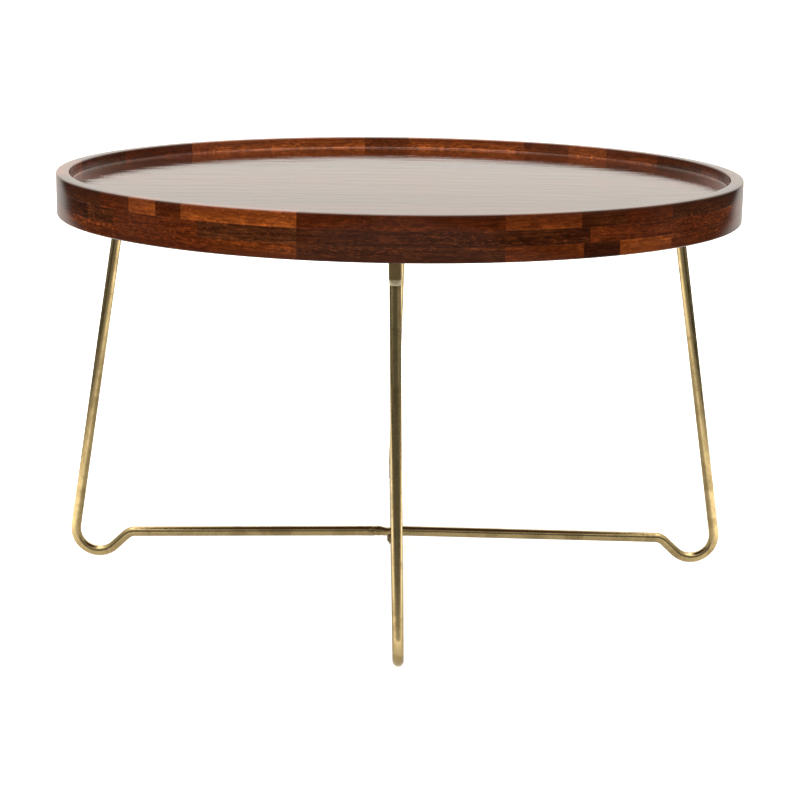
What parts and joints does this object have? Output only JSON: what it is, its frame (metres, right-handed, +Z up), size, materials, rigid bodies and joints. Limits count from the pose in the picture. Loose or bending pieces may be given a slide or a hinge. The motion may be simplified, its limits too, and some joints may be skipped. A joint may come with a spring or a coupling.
{
  "type": "tray-top coffee table",
  "caption": "Low round table: a recessed plank tray inside a raised laminated wooden rim, standing on crossed bent rods with an aged brass finish.",
  "frame": {"origin": "on the floor, under the middle of the tray", "axes": "+Z up; the front is towards -Y; the upper of the crossed rods runs along X and the lower one along Y"},
  "size_m": [0.8, 0.8, 0.48],
  "materials": {
    "rim_wood": "satin lacquer over a red-brown stain",
    "panel_wood": "satin to gloss lacquer over a red-brown stain",
    "rod_brass": "aged satin brass",
    "plate_brass": "aged satin brass",
    "screw_steel": "dull zinc",
    "weld_brass": "plated weld bead"
  },
  "bodies": {
    "root": {"rim_segment_01": "rim_wood", "rim_segment_02": "rim_wood", "rim_segment_03": "rim_wood", "rim_segment_04": "rim_wood", "rim_segment_05": "rim_wood", "rim_segment_06": "rim_wood", "rim_segment_07": "rim_wood", "rim_segment_08": "rim_wood", "rim_segment_09": "rim_wood", "rim_segment_10": "rim_wood", "rim_segment_11": "rim_wood", "rim_segment_12": "rim_wood", "panel_plank_01": "panel_wood", "panel_plank_02": "panel_wood", "panel_plank_03": "panel_wood", "panel_plank_04": "panel_wood", "panel_plank_05": "panel_wood", "panel_plank_06": "panel_wood", "panel_plank_07": "panel_wood", "panel_plank_08": "panel_wood", "panel_plank_09": "panel_wood", "side_rod": "rod_brass", "front_back_rod": "rod_brass", "mounting_plate_right": "plate_brass", "mounting_plate_back": "plate_brass", "mounting_plate_left": "plate_brass", "mounting_plate_front": "plate_brass", "plate_screws": "screw_steel", "weld_beads": "weld_brass"}
  },
  "joints": []
}
